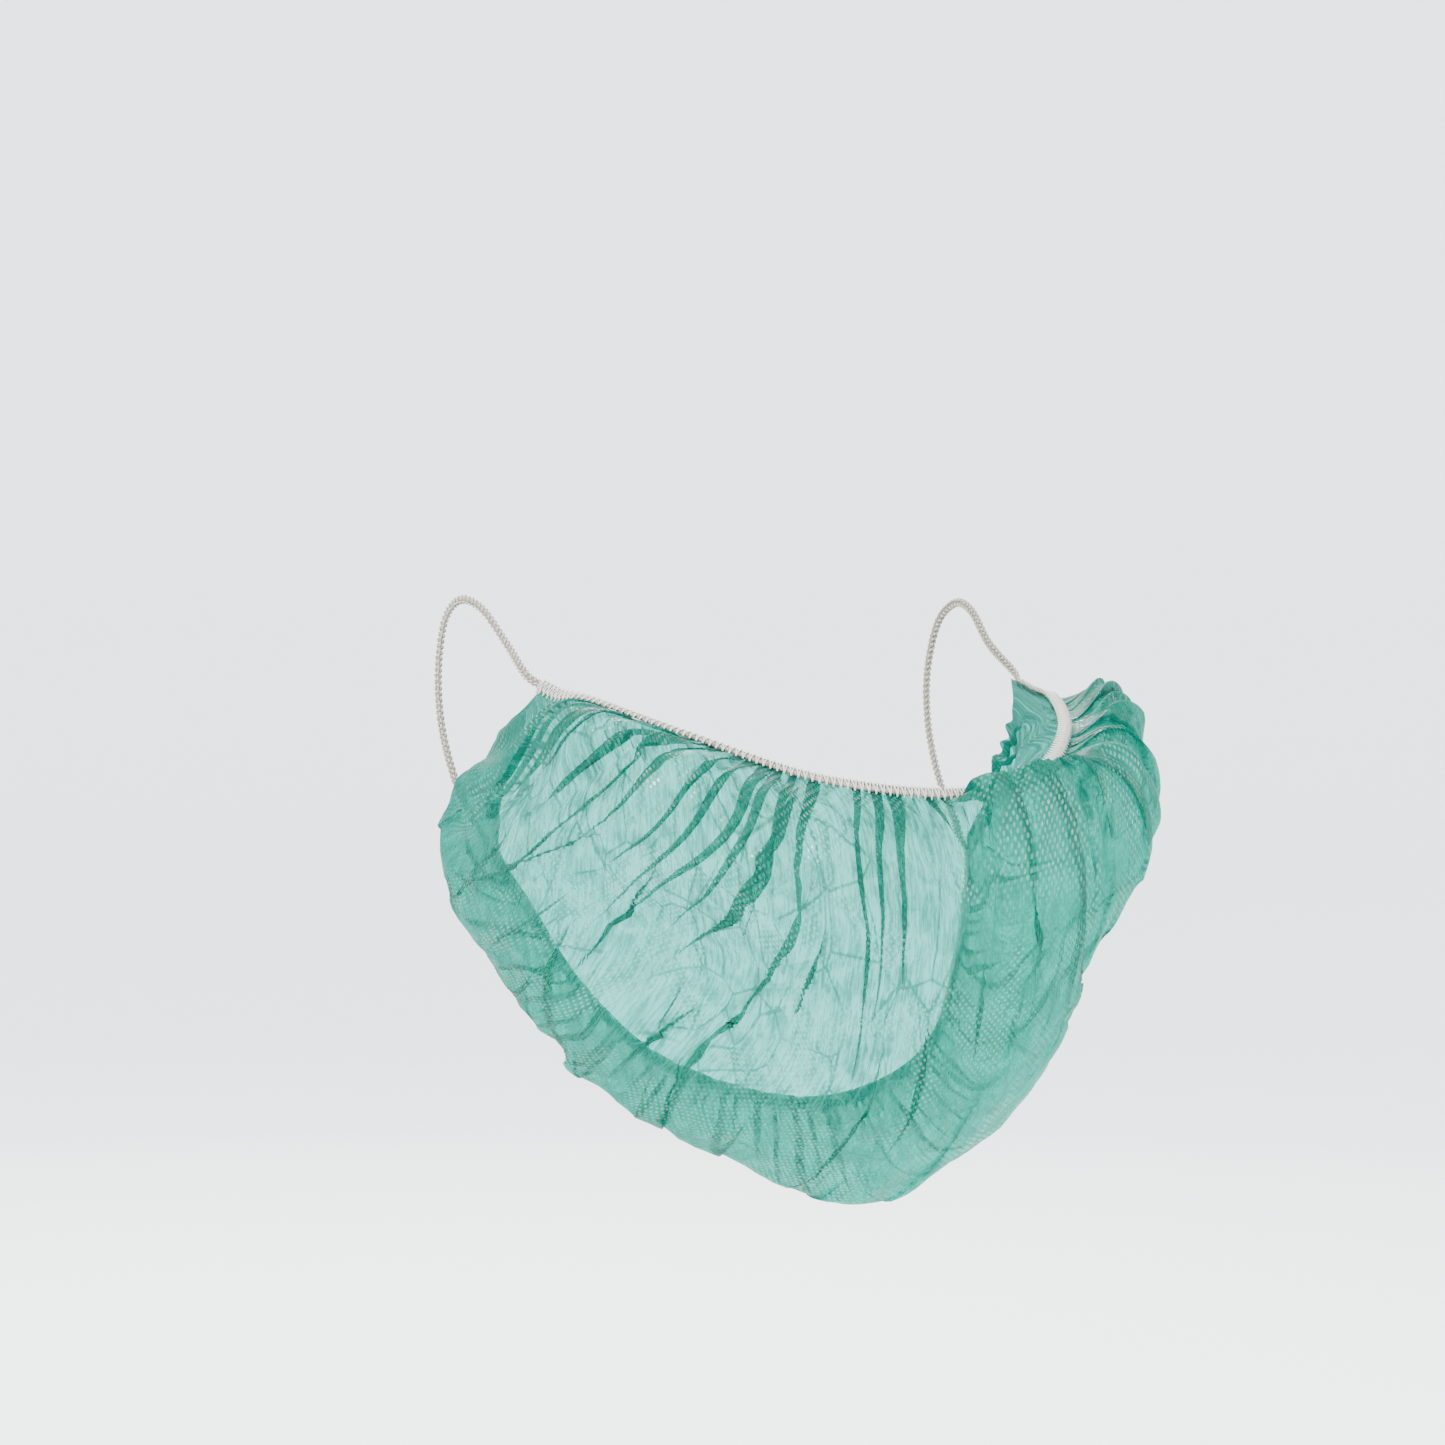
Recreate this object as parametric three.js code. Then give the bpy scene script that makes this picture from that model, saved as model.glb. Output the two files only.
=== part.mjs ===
import * as THREE from "three";

// Disposable beard net in its worn shape: a puffed pouch of thin nonwoven fabric, gathered on a narrow
// elastic along its top and lower edges, with a bare loop of that elastic at each end.
// +X is the net's own left, the front looks towards -Y and +Z is up.
// The origin lies midway between the tops of the two loops, by which the net hangs.

// Driving dimensions, in millimetres
const pouchHalfWidth = 86;
const pouchReach = 114;
const pouchDrop = 148;
const fabricWall = 1;
const elasticWidth = 2.7;
const elasticThickness = 1;
const elasticInset = 0.4;
const seatGap = 0.3;
const strandWidth = 2.6;
const strandThickness = 1.3;
const loopBack = 18;
const loopLead = 3.5;
const loopLift = 2;
const gatherDepth = 1.2;
const topGatherLength = 20;
const hemGatherLength = 9;
const pleatDepth = 2.4;
const topPleatLength = 60;
const hemPleatLength = 20;
const foldDepth = 4;
const foldWidth = 10;
const flatEdge = 2 * elasticInset + elasticWidth;

// Counts along the fabric
const gatherCount = 36;
const pleatCount = 15;
const columnsPerGather = 4;
const rowCount = 15;
const columnsPerBandStep = 2;
const bareEndColumns = 4;
const loopSteps = 34;
const loopTurnSteps = 5;
const strandSides = 8;

// Shares: of the fabric's width over which folds fade in at each end, of a gather's or a pleat's length
// at which it has faded out, and of a pleat's spacing by which two slow waves shift the pleats.
const endFadeShare = 0.083;
const tailShare = 1.3;
const slowSway = 0.15;
const quickSway = 0.1;
const slowSwayWaves = 3.5;
const quickSwayWaves = 5.5;

const fabricGreen = 0x6fc7b5;
const elasticWhite = 0xe9e4da;

// Each row is one section of the pouch, from its gathered end to the middle of its front.
// Each column is one level of the fabric, from its top edge to its lower edge, and holds shares
// [out, fore, down] of the pouch's half width, reach and drop.
const sections = {
  end: {
    rim: [0.81, 0.245, 0.135],
    puff: [0.84, 0.22, 0.18],
    belly: [0.85, 0.175, 0.245],
    waist: [0.85, 0.145, 0.285],
    chin: [0.85, 0.115, 0.325],
    keel: [0.84, 0.085, 0.37],
    hem: [0.82, 0.055, 0.42],
  },
  tuck: {
    rim: [0.81, 0.27, 0.14],
    puff: [0.89, 0.235, 0.195],
    belly: [0.955, 0.09, 0.305],
    waist: [0.965, 0.005, 0.37],
    chin: [0.955, -0.01, 0.42],
    keel: [0.92, 0.01, 0.46],
    hem: [0.805, 0.085, 0.455],
  },
  lobe: {
    rim: [0.805, 0.315, 0.15],
    puff: [0.93, 0.295, 0.24],
    belly: [0.99, 0.16, 0.345],
    waist: [1, 0.05, 0.44],
    chin: [0.94, 0.055, 0.54],
    keel: [0.86, 0.11, 0.61],
    hem: [0.765, 0.12, 0.505],
  },
  jaw: {
    rim: [0.78, 0.41, 0.17],
    puff: [0.93, 0.445, 0.175],
    belly: [1, 0.44, 0.325],
    waist: [0.95, 0.37, 0.5],
    chin: [0.84, 0.3, 0.67],
    keel: [0.71, 0.225, 0.775],
    hem: [0.66, 0.19, 0.63],
  },
  cheek: {
    rim: [0.63, 0.615, 0.225],
    puff: [0.8, 0.72, 0.24],
    belly: [0.89, 0.74, 0.35],
    waist: [0.66, 0.635, 0.56],
    chin: [0.605, 0.605, 0.755],
    keel: [0.54, 0.39, 0.88],
    hem: [0.49, 0.28, 0.75],
  },
  mouth: {
    rim: [0.35, 0.805, 0.29],
    puff: [0.42, 0.92, 0.36],
    belly: [0.465, 0.95, 0.5],
    waist: [0.41, 0.905, 0.66],
    chin: [0.34, 0.81, 0.82],
    keel: [0.255, 0.48, 0.96],
    hem: [0.28, 0.35, 0.81],
  },
  middle: {
    rim: [0, 0.905, 0.31],
    puff: [0, 0.98, 0.39],
    belly: [0, 1, 0.54],
    waist: [0, 0.965, 0.7],
    chin: [0, 0.87, 0.85],
    keel: [0, 0.51, 1],
    hem: [0, 0.37, 0.84],
  },
};
const levels = ["rim", "puff", "belly", "waist", "chin", "keel", "hem"];

// Each row is one long fold. The columns are its place along the fabric at its upper and its lower end,
// as shares of the fabric's width from its right end, the shares of the fabric's depth where it starts
// and stops, and its height as a share of the fold's depth, below nought for a furrow.
const folds = [
  { top: 0.23, foot: 0.08, from: 0.05, to: 0.4, height: 0.8 },
  { top: 0.26, foot: 0.16, from: 0.03, to: 0.46, height: 0.9 },
  { top: 0.3, foot: 0.235, from: 0.04, to: 0.56, height: -0.8 },
  { top: 0.33, foot: 0.275, from: 0.02, to: 0.56, height: 1 },
  { top: 0.36, foot: 0.325, from: 0.1, to: 0.58, height: 0.8 },
  { top: 0.385, foot: 0.405, from: 0.02, to: 0.42, height: -0.7 },
  { top: 0.43, foot: 0.43, from: 0.02, to: 0.8, height: 0.8 },
  { top: 0.475, foot: 0.415, from: 0.02, to: 0.5, height: -0.6 },
  { top: 0.5, foot: 0.52, from: 0.02, to: 0.34, height: 0.7 },
  { top: 0.57, foot: 0.56, from: 0.03, to: 0.5, height: 0.8 },
  { top: 0.655, foot: 0.575, from: 0.04, to: 0.52, height: -0.9 },
  { top: 0.7, foot: 0.74, from: 0.03, to: 0.5, height: 0.9 },
  { top: 0.76, foot: 0.84, from: 0.04, to: 0.48, height: 0.8 },
  { top: 0.79, foot: 0.93, from: 0.05, to: 0.4, height: 0.7 },
];

// Each row is one point of the bare loop between the two elastics, from the top elastic over the loop's
// top and down behind it: [out, back, down] as shares of the pouch's half width, of how far the loop
// reaches back and of the height between the loop's top and the lower elastic's end.
const loopPoints = {
  beforeEar: [0.843, -0.78, 0.17],
  aboveEar: [0.86, -0.17, 0.03],
  top: [0.872, 0.28, 0],
  behindTop: [0.872, 0.72, 0.065],
  behindEar: [0.866, 1, 0.275],
  behindLobe: [0.86, 0.94, 0.5],
  underEar: [0.849, 0.55, 0.73],
  towardsJaw: [0.837, 0.1, 0.87],
};

function smooth(share) {
  return THREE.MathUtils.smoothstep(share, 0, 1);
}

function pouchPoint(side, [out, fore, down]) {
  return new THREE.Vector3(side * out * pouchHalfWidth, -fore * pouchReach, -down * pouchDrop);
}

// A level runs along the whole fabric, from its right end round the front to its left end.
function levelCurve(level) {
  const rows = Object.values(sections).map((section) => section[level]);
  const right = rows.map((shares) => pouchPoint(-1, shares));
  const left = rows.slice(0, -1).map((shares) => pouchPoint(1, shares));
  return new THREE.CatmullRomCurve3([...right, ...left.reverse()]);
}

// The spine runs midway between the levels, and spaces the fabric's columns evenly.
function spineCurve(curves) {
  const points = curves[0].points.map((_, index) => {
    const sum = new THREE.Vector3();
    curves.forEach((curve) => sum.add(curve.points[index]));
    return sum.divideScalar(curves.length);
  });
  return new THREE.CatmullRomCurve3(points);
}

// Distances down the fabric at which its rows lie. The flat edges that carry the elastic keep their width.
function rowDistances(depth) {
  const between = rowCount - 2;
  const distances = [0];
  for (let row = 0; row <= between; row += 1) {
    distances.push(flatEdge + ((depth - 2 * flatEdge) * row) / between);
  }
  distances.push(depth);
  return distances;
}

// The smooth pouch without folds: one column of points for each step along the fabric.
function smoothPouch() {
  const curves = levels.map(levelCurve);
  const spine = spineCurve(curves);
  const columnCount = gatherCount * columnsPerGather;
  const fabricWidth = spine.getLength();
  const columns = [];
  for (let column = 0; column <= columnCount; column += 1) {
    const along = column / columnCount;
    const t = spine.getUtoTmapping(along);
    const profile = new THREE.CatmullRomCurve3(curves.map((curve) => curve.getPoint(t)));
    const depth = profile.getLength();
    const distances = rowDistances(depth);
    const points = distances.map((distance) => profile.getPointAt(distance / depth));
    columns.push({ along, depth, fabricWidth, distances, points });
  }
  return columns;
}

// The direction out of the pouch at each point, square to the steps along and down the fabric.
function outwardNormals(grid) {
  const lastColumn = grid.length - 1;
  const lastRow = grid[0].length - 1;
  return grid.map((points, column) =>
    points.map((_, row) => {
      const alongFrom = grid[Math.max(column - 1, 0)][row];
      const alongTo = grid[Math.min(column + 1, lastColumn)][row];
      const downFrom = points[Math.max(row - 1, 0)];
      const downTo = points[Math.min(row + 1, lastRow)];
      const along = alongTo.clone().sub(alongFrom);
      return downTo.clone().sub(downFrom).cross(along).normalize();
    }),
  );
}

function wave(turns) {
  return Math.sin(2 * Math.PI * turns);
}

// How far the folded fabric stands off the smooth pouch: fine gathers under each elastic, broader pleats
// between them and the long folds of the table. All of them fade out at the flat edges and at the ends.
function foldHeight({ along, depth, fabricWidth }, distance) {
  const nearest = Math.min(distance, depth - distance) - flatEdge;
  const upper = distance < depth / 2;
  const gatherLength = upper ? topGatherLength : hemGatherLength;
  const pleatLength = upper ? topPleatLength : hemPleatLength;
  const endFade = smooth(Math.min(along, 1 - along) / endFadeShare);
  const gatherFade = smooth(nearest / flatEdge) * smooth(tailShare - nearest / gatherLength);
  const pleatFade = smooth(nearest / topGatherLength) * smooth(tailShare - nearest / pleatLength);
  const sway = slowSway * wave(slowSwayWaves * along) + quickSway * wave(quickSwayWaves * along);
  const gather = gatherDepth * gatherFade * wave(gatherCount * along + 2 * sway);
  const pleat = pleatDepth * pleatFade * wave(pleatCount * along + sway);
  let height = gather + pleat;
  for (const fold of folds) {
    const down = (distance / depth - fold.from) / (fold.to - fold.from);
    if (down > 0 && down < 1) {
      const place = THREE.MathUtils.lerp(fold.top, fold.foot, down);
      const aside = ((along - place) * fabricWidth) / foldWidth;
      const across = Math.exp(-4 * aside * aside);
      height += foldDepth * fold.height * wave(down / 2) * across;
    }
  }
  return height * endFade;
}

function meshOf(name, vertices, triangles, colour, roughness) {
  const geometry = new THREE.BufferGeometry().setFromPoints(vertices);
  geometry.setIndex(triangles);
  geometry.computeVertexNormals();
  const material = new THREE.MeshStandardMaterial({ color: colour, roughness, metalness: 0 });
  const mesh = new THREE.Mesh(geometry, material);
  mesh.name = name;
  return mesh;
}

function addQuad(triangles, a, b, c, d) {
  triangles.push(a, b, c, a, c, d);
}

// The fabric is a closed wall: an outer and an inner skin half a wall off the folded sheet, joined round
// its four edges.
function pouchMesh(columns) {
  const bare = columns.map(({ points }) => points);
  const bareNormals = outwardNormals(bare);
  const folded = columns.map((strip, column) =>
    strip.points.map((point, row) => {
      const height = foldHeight(strip, strip.distances[row]);
      return point.clone().addScaledVector(bareNormals[column][row], height);
    }),
  );
  const normals = outwardNormals(folded);
  const rows = folded[0].length;
  const skin = folded.length * rows;
  const outer = folded.flatMap((points, column) =>
    points.map((point, row) => point.clone().addScaledVector(normals[column][row], fabricWall / 2)),
  );
  const inner = folded.flatMap((points, column) =>
    points.map((point, row) => point.clone().addScaledVector(normals[column][row], -fabricWall / 2)),
  );
  const triangles = [];
  for (let column = 0; column < folded.length - 1; column += 1) {
    for (let row = 0; row < rows - 1; row += 1) {
      const here = column * rows + row;
      const next = here + rows;
      addQuad(triangles, here, here + 1, next + 1, next);
      addQuad(triangles, skin + here, skin + next, skin + next + 1, skin + here + 1);
    }
    const top = column * rows;
    const foot = top + rows - 1;
    addQuad(triangles, top, top + rows, skin + top + rows, skin + top);
    addQuad(triangles, foot, skin + foot, skin + foot + rows, foot + rows);
  }
  const lastColumn = (folded.length - 1) * rows;
  for (let row = 0; row < rows - 1; row += 1) {
    const end = lastColumn + row;
    addQuad(triangles, row, skin + row, skin + row + 1, row + 1);
    addQuad(triangles, end, end + 1, skin + end + 1, skin + end);
  }
  return meshOf("net_pouch", [...outer, ...inner], triangles, fabricGreen, 0.6);
}

// A closed bar through rings of points, each ring running anticlockwise seen from the bar's end.
function barMesh(name, rings) {
  const size = rings[0].length;
  const triangles = [];
  for (let ring = 0; ring < rings.length - 1; ring += 1) {
    for (let corner = 0; corner < size; corner += 1) {
      const next = (corner + 1) % size;
      const here = ring * size;
      addQuad(triangles, here + corner, here + next, here + size + next, here + size + corner);
    }
  }
  const last = (rings.length - 1) * size;
  for (let corner = 1; corner < size - 1; corner += 1) {
    triangles.push(0, corner + 1, corner);
    triangles.push(last, last + corner, last + corner + 1);
  }
  return meshOf(name, rings.flat(), triangles, elasticWhite, 0.85);
}

// The seat of an elastic on one edge of the fabric: its middle line, and the ways across and off it.
function elasticSeats(columns, edgeRow, innerRow) {
  const normals = outwardNormals(columns.map(({ points }) => points));
  return columns
    .map(({ points }, column) => {
      const across = points[innerRow].clone().sub(points[edgeRow]).normalize();
      const normal = normals[column][edgeRow];
      const off = normal.clone().addScaledVector(across, -normal.dot(across)).normalize();
      const centre = points[edgeRow]
        .clone()
        .addScaledVector(across, elasticInset + elasticWidth / 2)
        .addScaledVector(off, fabricWall / 2 + seatGap + elasticThickness / 2);
      return { centre, across, off };
    })
    .slice(bareEndColumns, columns.length - bareEndColumns)
    .filter((_, column) => column % columnsPerBandStep === 0);
}

function elasticMesh(name, seats, turn) {
  const rings = seats.map(({ centre, across, off }) =>
    [
      [-1, -1],
      [1, -1],
      [1, 1],
      [-1, 1],
    ].map(([wide, high]) =>
      centre
        .clone()
        .addScaledVector(across, (turn * wide * elasticWidth) / 2)
        .addScaledVector(off, (high * elasticThickness) / 2),
    ),
  );
  return barMesh(name, rings);
}

function strandRing(centre, across, off) {
  const ring = [];
  for (let corner = 0; corner < strandSides; corner += 1) {
    const angle = ((corner + 0.5) * 2 * Math.PI) / strandSides;
    const point = centre.clone().addScaledVector(off, (Math.cos(angle) * strandThickness) / 2);
    ring.push(point.addScaledVector(across, (Math.sin(angle) * strandWidth) / 2));
  }
  return ring;
}

// The loop runs on from the ends of the two elastics, a seat's gap off each. It lifts off the fabric
// before it turns up and back.
function loopEnd(seat, nextSeat) {
  const way = seat.centre.clone().sub(nextSeat.centre).normalize();
  const start = seat.centre.clone().addScaledVector(way, seatGap);
  const lifted = start.clone().addScaledVector(way, loopLead).addScaledVector(seat.off, loopLift);
  return [start, lifted];
}

function loopMesh(name, side, topSeats, hemSeats) {
  const [start, afterStart] = loopEnd(...topSeats);
  const [finish, beforeFinish] = loopEnd(...hemSeats);
  const between = Object.values(loopPoints).map(([out, back, down]) => {
    return new THREE.Vector3(side * out * pouchHalfWidth, back * loopBack, down * finish.z);
  });
  const route = new THREE.CatmullRomCurve3([start, afterStart, ...between, beforeFinish, finish]);
  const rings = [];
  for (let step = 0; step <= loopSteps; step += 1) {
    const centre = route.getPointAt(step / loopSteps);
    const way = route.getTangentAt(step / loopSteps);
    const [nearSeat] = step < loopSteps / 2 ? topSeats : hemSeats;
    const turned = smooth(Math.min(step, loopSteps - step) / loopTurnSteps);
    const off = nearSeat.off.clone().lerp(new THREE.Vector3(-side, 0, 0), turned);
    const across = nearSeat.across.clone().multiplyScalar(side);
    if (step > 0 && step < loopSteps) {
      across.crossVectors(way, off).normalize();
      off.crossVectors(across, way);
    }
    rings.push(strandRing(centre, across, off));
  }
  return barMesh(name, rings);
}

const columns = smoothPouch();
const lastRow = columns[0].points.length - 1;
const topSeats = elasticSeats(columns, 0, 1);
const hemSeats = elasticSeats(columns, lastRow, lastRow - 1);

const beardNet = new THREE.Group();
beardNet.add(pouchMesh(columns));
beardNet.add(elasticMesh("top_elastic", topSeats, -1));
beardNet.add(elasticMesh("lower_elastic", hemSeats, 1));
beardNet.add(loopMesh("ear_loop_right", -1, topSeats, hemSeats));
beardNet.add(loopMesh("ear_loop_left", 1, topSeats.toReversed(), hemSeats.toReversed()));

export default beardNet;
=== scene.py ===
import bpy
import numpy as np
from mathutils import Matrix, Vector


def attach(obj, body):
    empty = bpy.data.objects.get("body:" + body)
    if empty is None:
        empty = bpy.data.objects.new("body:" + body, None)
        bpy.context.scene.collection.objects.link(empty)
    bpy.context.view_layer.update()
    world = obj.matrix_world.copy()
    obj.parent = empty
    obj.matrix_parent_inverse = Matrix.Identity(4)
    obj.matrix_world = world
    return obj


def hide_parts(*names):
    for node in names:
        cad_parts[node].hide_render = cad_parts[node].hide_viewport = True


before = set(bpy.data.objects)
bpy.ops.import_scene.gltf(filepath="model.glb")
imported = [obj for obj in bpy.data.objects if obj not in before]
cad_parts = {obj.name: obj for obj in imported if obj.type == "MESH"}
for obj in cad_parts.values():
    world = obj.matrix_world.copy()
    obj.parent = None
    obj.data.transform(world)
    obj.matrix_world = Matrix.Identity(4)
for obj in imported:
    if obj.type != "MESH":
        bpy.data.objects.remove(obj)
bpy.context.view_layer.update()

# Camera
# The net is seen from its own right front, 33 degrees round and about level. The camera stands 1.2 m
# away, and the net fills the lower right of a square picture of 1445 pixels.
view_turn, view_rise = np.radians(-33.0), np.radians(2.0)
picture_width = 1445
pixels_per_metre = 4030.0
view_distance = 1.2
seen_point = Vector((0.0, -0.055, -0.054))
seen_pixel = (843.0, 817.0)

back = Vector((
    np.sin(view_turn) * np.cos(view_rise),
    -np.cos(view_turn) * np.cos(view_rise),
    np.sin(view_rise),
))
across = Vector((np.cos(view_turn), np.sin(view_turn), 0.0))
upward = back.cross(across)
camera_data = bpy.data.cameras.new("photo_camera")
camera_data.sensor_width = 36.0
camera_data.lens = pixels_per_metre * view_distance / picture_width * camera_data.sensor_width
camera = bpy.data.objects.new("photo_camera", camera_data)
bpy.context.scene.collection.objects.link(camera)
bpy.context.scene.camera = camera
camera.location = seen_point + back * view_distance
picture_middle = (
    seen_point
    - across * ((seen_pixel[0] - picture_width / 2) / pixels_per_metre)
    + upward * ((seen_pixel[1] - picture_width / 2) / pixels_per_metre)
)
camera.rotation_mode = "QUATERNION"
camera.rotation_quaternion = (picture_middle - camera.location).to_track_quat("-Z", "Y")


# Floor
# A pale studio bowl: a flat floor that turns up into a wall all round, so no horizon shows from any side.
# It lies clear below the net, which hangs by its loops.
def mesh_piece(name, points, faces, uv=None, smooth=True):
    """A mesh object at the origin from an array of points and an array of four-cornered faces.
    uv holds one pair for each corner of each face, in the faces' own order."""
    mesh = bpy.data.meshes.new(name)
    faces = np.ascontiguousarray(faces, dtype=np.int32)
    points = np.ascontiguousarray(points, dtype=np.float32)
    mesh.vertices.add(len(points))
    mesh.vertices.foreach_set("co", points.ravel())
    mesh.loops.add(faces.size)
    mesh.loops.foreach_set("vertex_index", faces.ravel())
    mesh.polygons.add(len(faces))
    mesh.polygons.foreach_set("loop_start", np.arange(0, faces.size, faces.shape[1], dtype=np.int32))
    mesh.polygons.foreach_set("use_smooth", np.full(len(faces), smooth))
    mesh.update(calc_edges=True)
    mesh.validate()
    if uv is not None:
        layer = mesh.uv_layers.new(name="cloth")
        layer.data.foreach_set("uv", np.ascontiguousarray(uv, dtype=np.float32).ravel())
    piece = bpy.data.objects.new(name, mesh)
    bpy.context.scene.collection.objects.link(piece)
    return piece


def grid_faces(columns, rows, around=False):
    """Four-cornered faces of a grid whose points run down each column in turn.
    With around, the last column joins the first one."""
    last = columns if around else columns - 1
    column, row = np.meshgrid(np.arange(last), np.arange(rows - 1), indexing="ij")
    here = column * rows + row
    beside = ((column + 1) % columns) * rows + row
    return np.stack([here, here + 1, beside + 1, beside], axis=-1).reshape(-1, 4)


bowl_turns = 96
bowl_profile = np.array([
    (0.001, 0.0), (1.2, 0.0), (1.7, 0.0), (1.95, 0.03), (2.15, 0.12), (2.3, 0.3), (2.37, 0.55),
    (2.4, 0.9), (2.4, 2.2),
])
bowl_angle = np.linspace(0, 2 * np.pi, bowl_turns, endpoint=False)[:, None]
floor_height = -0.30
bowl_points = np.stack([
    bowl_profile[:, 0] * np.cos(bowl_angle),
    bowl_profile[:, 0] * np.sin(bowl_angle),
    np.broadcast_to(bowl_profile[:, 1] + floor_height, (bowl_turns, len(bowl_profile))),
], axis=-1).reshape(-1, 3)
bowl_faces = grid_faces(bowl_turns, len(bowl_profile), around=True)
bowl = mesh_piece("studio_bowl", bowl_points, bowl_faces[:, ::-1])
bowl_paint = bpy.data.materials.new("pale_studio_paint")
bowl_paint.use_nodes = True
bowl_shader = bowl_paint.node_tree.nodes["Principled BSDF"]
bowl_shader.inputs["Base Color"].default_value = (0.86, 0.87, 0.88, 1)
bowl_shader.inputs["Roughness"].default_value = 0.9
bowl.data.materials.append(bowl_paint)


# Light
# Plain soft studio light: a small strong box from the net's right front and above, a broader and weaker one
# from its left front, and one from behind and above that comes through the fabric. The air is pale all round.
def soft_box(name, place, aim, size, watts, tint):
    """A square lamp of that size at that place, turned towards the aim."""
    lamp = bpy.data.lights.new(name, "AREA")
    lamp.shape = "SQUARE"
    lamp.size = size
    lamp.energy = watts
    lamp.color = tint
    holder = bpy.data.objects.new(name, lamp)
    holder.location = place
    holder.rotation_mode = "QUATERNION"
    holder.rotation_quaternion = (Vector(aim) - Vector(place)).to_track_quat("-Z", "Y")
    bpy.context.scene.collection.objects.link(holder)


net_middle = (0.0, -0.06, -0.07)
soft_box("key_box", (-0.85, -0.5, 0.75), net_middle, 0.22, 52.0, (1.0, 0.99, 0.97))
soft_box("fill_box", (1.25, -0.75, 0.35), net_middle, 0.7, 18.0, (0.98, 0.99, 1.0))
soft_box("back_box", (0.5, 1.2, 0.9), net_middle, 0.6, 30.0, (1.0, 1.0, 1.0))
studio_air = bpy.data.worlds.new("studio_air")
studio_air.use_nodes = True
air_light = studio_air.node_tree.nodes["Background"]
air_light.inputs["Color"].default_value = (0.95, 0.97, 1.0, 1)
air_light.inputs["Strength"].default_value = 3.0
bpy.context.scene.world = studio_air

# Pouch
# The real pouch is one rectangle of thermally bonded nonwoven, about a tenth of a millimetre thick. Its two
# long edges are gathered on elastic, so the sheet falls in sharp pleats that run out into a smooth puff.
pouch_span = np.array([0.086, -0.114, -0.148])

# Each row of the table is one section, from the gathered end to the middle of the front. Each of its seven
# levels, rim to hem, holds how far out, fore and down it lies, as shares of the pouch's half width, reach
# and drop. The other half mirrors this one.
sections = np.array([
    [(.81, .245, .135), (.84, .22, .18), (.85, .175, .245), (.85, .145, .285), (.85, .115, .325),
     (.84, .085, .37), (.82, .055, .42)],
    [(.81, .27, .14), (.89, .235, .195), (.955, .09, .305), (.965, .005, .37), (.955, -.01, .42),
     (.92, .01, .46), (.805, .085, .455)],
    [(.805, .315, .15), (.93, .295, .24), (.99, .16, .345), (1, .05, .44), (.94, .055, .54),
     (.86, .11, .61), (.765, .12, .505)],
    [(.78, .41, .17), (.93, .445, .175), (1, .44, .325), (.95, .37, .5), (.84, .3, .67),
     (.71, .225, .775), (.66, .19, .63)],
    [(.63, .615, .225), (.8, .72, .24), (.89, .74, .35), (.66, .635, .56), (.605, .605, .755),
     (.54, .39, .88), (.49, .28, .75)],
    [(.35, .805, .29), (.42, .92, .36), (.465, .95, .5), (.41, .905, .66), (.34, .81, .82),
     (.255, .48, .96), (.28, .35, .81)],
    [(0, .905, .31), (0, .98, .39), (0, 1, .54), (0, .965, .7), (0, .87, .85), (0, .51, 1),
     (0, .37, .84)],
])
cloth_columns = 900
cloth_rows = 111
curve_steps = 1200
profile_steps = 240
bare_columns = 601
flat_width = 0.457
band_width = 0.0027
band_inset = 0.0004


def curve_through(points, shares):
    """Points on a smooth curve through the given ones. shares runs from 0 at the first point to 1 at the
    last. Each stretch is a cubic between its two points, with slopes from the neighbours at both sides
    weighted by the square roots of the three chords, so that it keeps its shape where points crowd."""
    first = 2 * points[..., :1, :] - points[..., 1:2, :]
    last = 2 * points[..., -1:, :] - points[..., -2:-1, :]
    points = np.concatenate([first, points, last], axis=-2)
    stretches = points.shape[-2] - 3
    stretch = np.clip(np.floor(shares * stretches).astype(int), 0, stretches - 1)
    part = (shares * stretches - stretch)[..., None]
    a, b, c, d = (np.take_along_axis(points, (stretch + k)[..., None], axis=-2) for k in range(4))
    chord_ab, chord_bc, chord_cd = (
        np.sqrt(np.linalg.norm(q - p, axis=-1, keepdims=True)) for p, q in ((a, b), (b, c), (c, d))
    )
    slope_b = ((b - a) / chord_ab - (c - a) / (chord_ab + chord_bc) + (c - b) / chord_bc) * chord_bc
    slope_c = ((c - b) / chord_bc - (d - b) / (chord_bc + chord_cd) + (d - c) / chord_cd) * chord_bc
    cube = 2 * b - 2 * c + slope_b + slope_c
    square = -3 * b + 3 * c - 2 * slope_b - slope_c
    return ((cube * part + square) * part + slope_b) * part + b


def run_along(points):
    """Distance run along each line of points, from 0 at its first point."""
    steps = np.linalg.norm(np.diff(points, axis=-2), axis=-1)
    return np.concatenate([np.zeros(steps.shape[:-1] + (1,)), np.cumsum(steps, axis=-1)], axis=-1)


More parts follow.
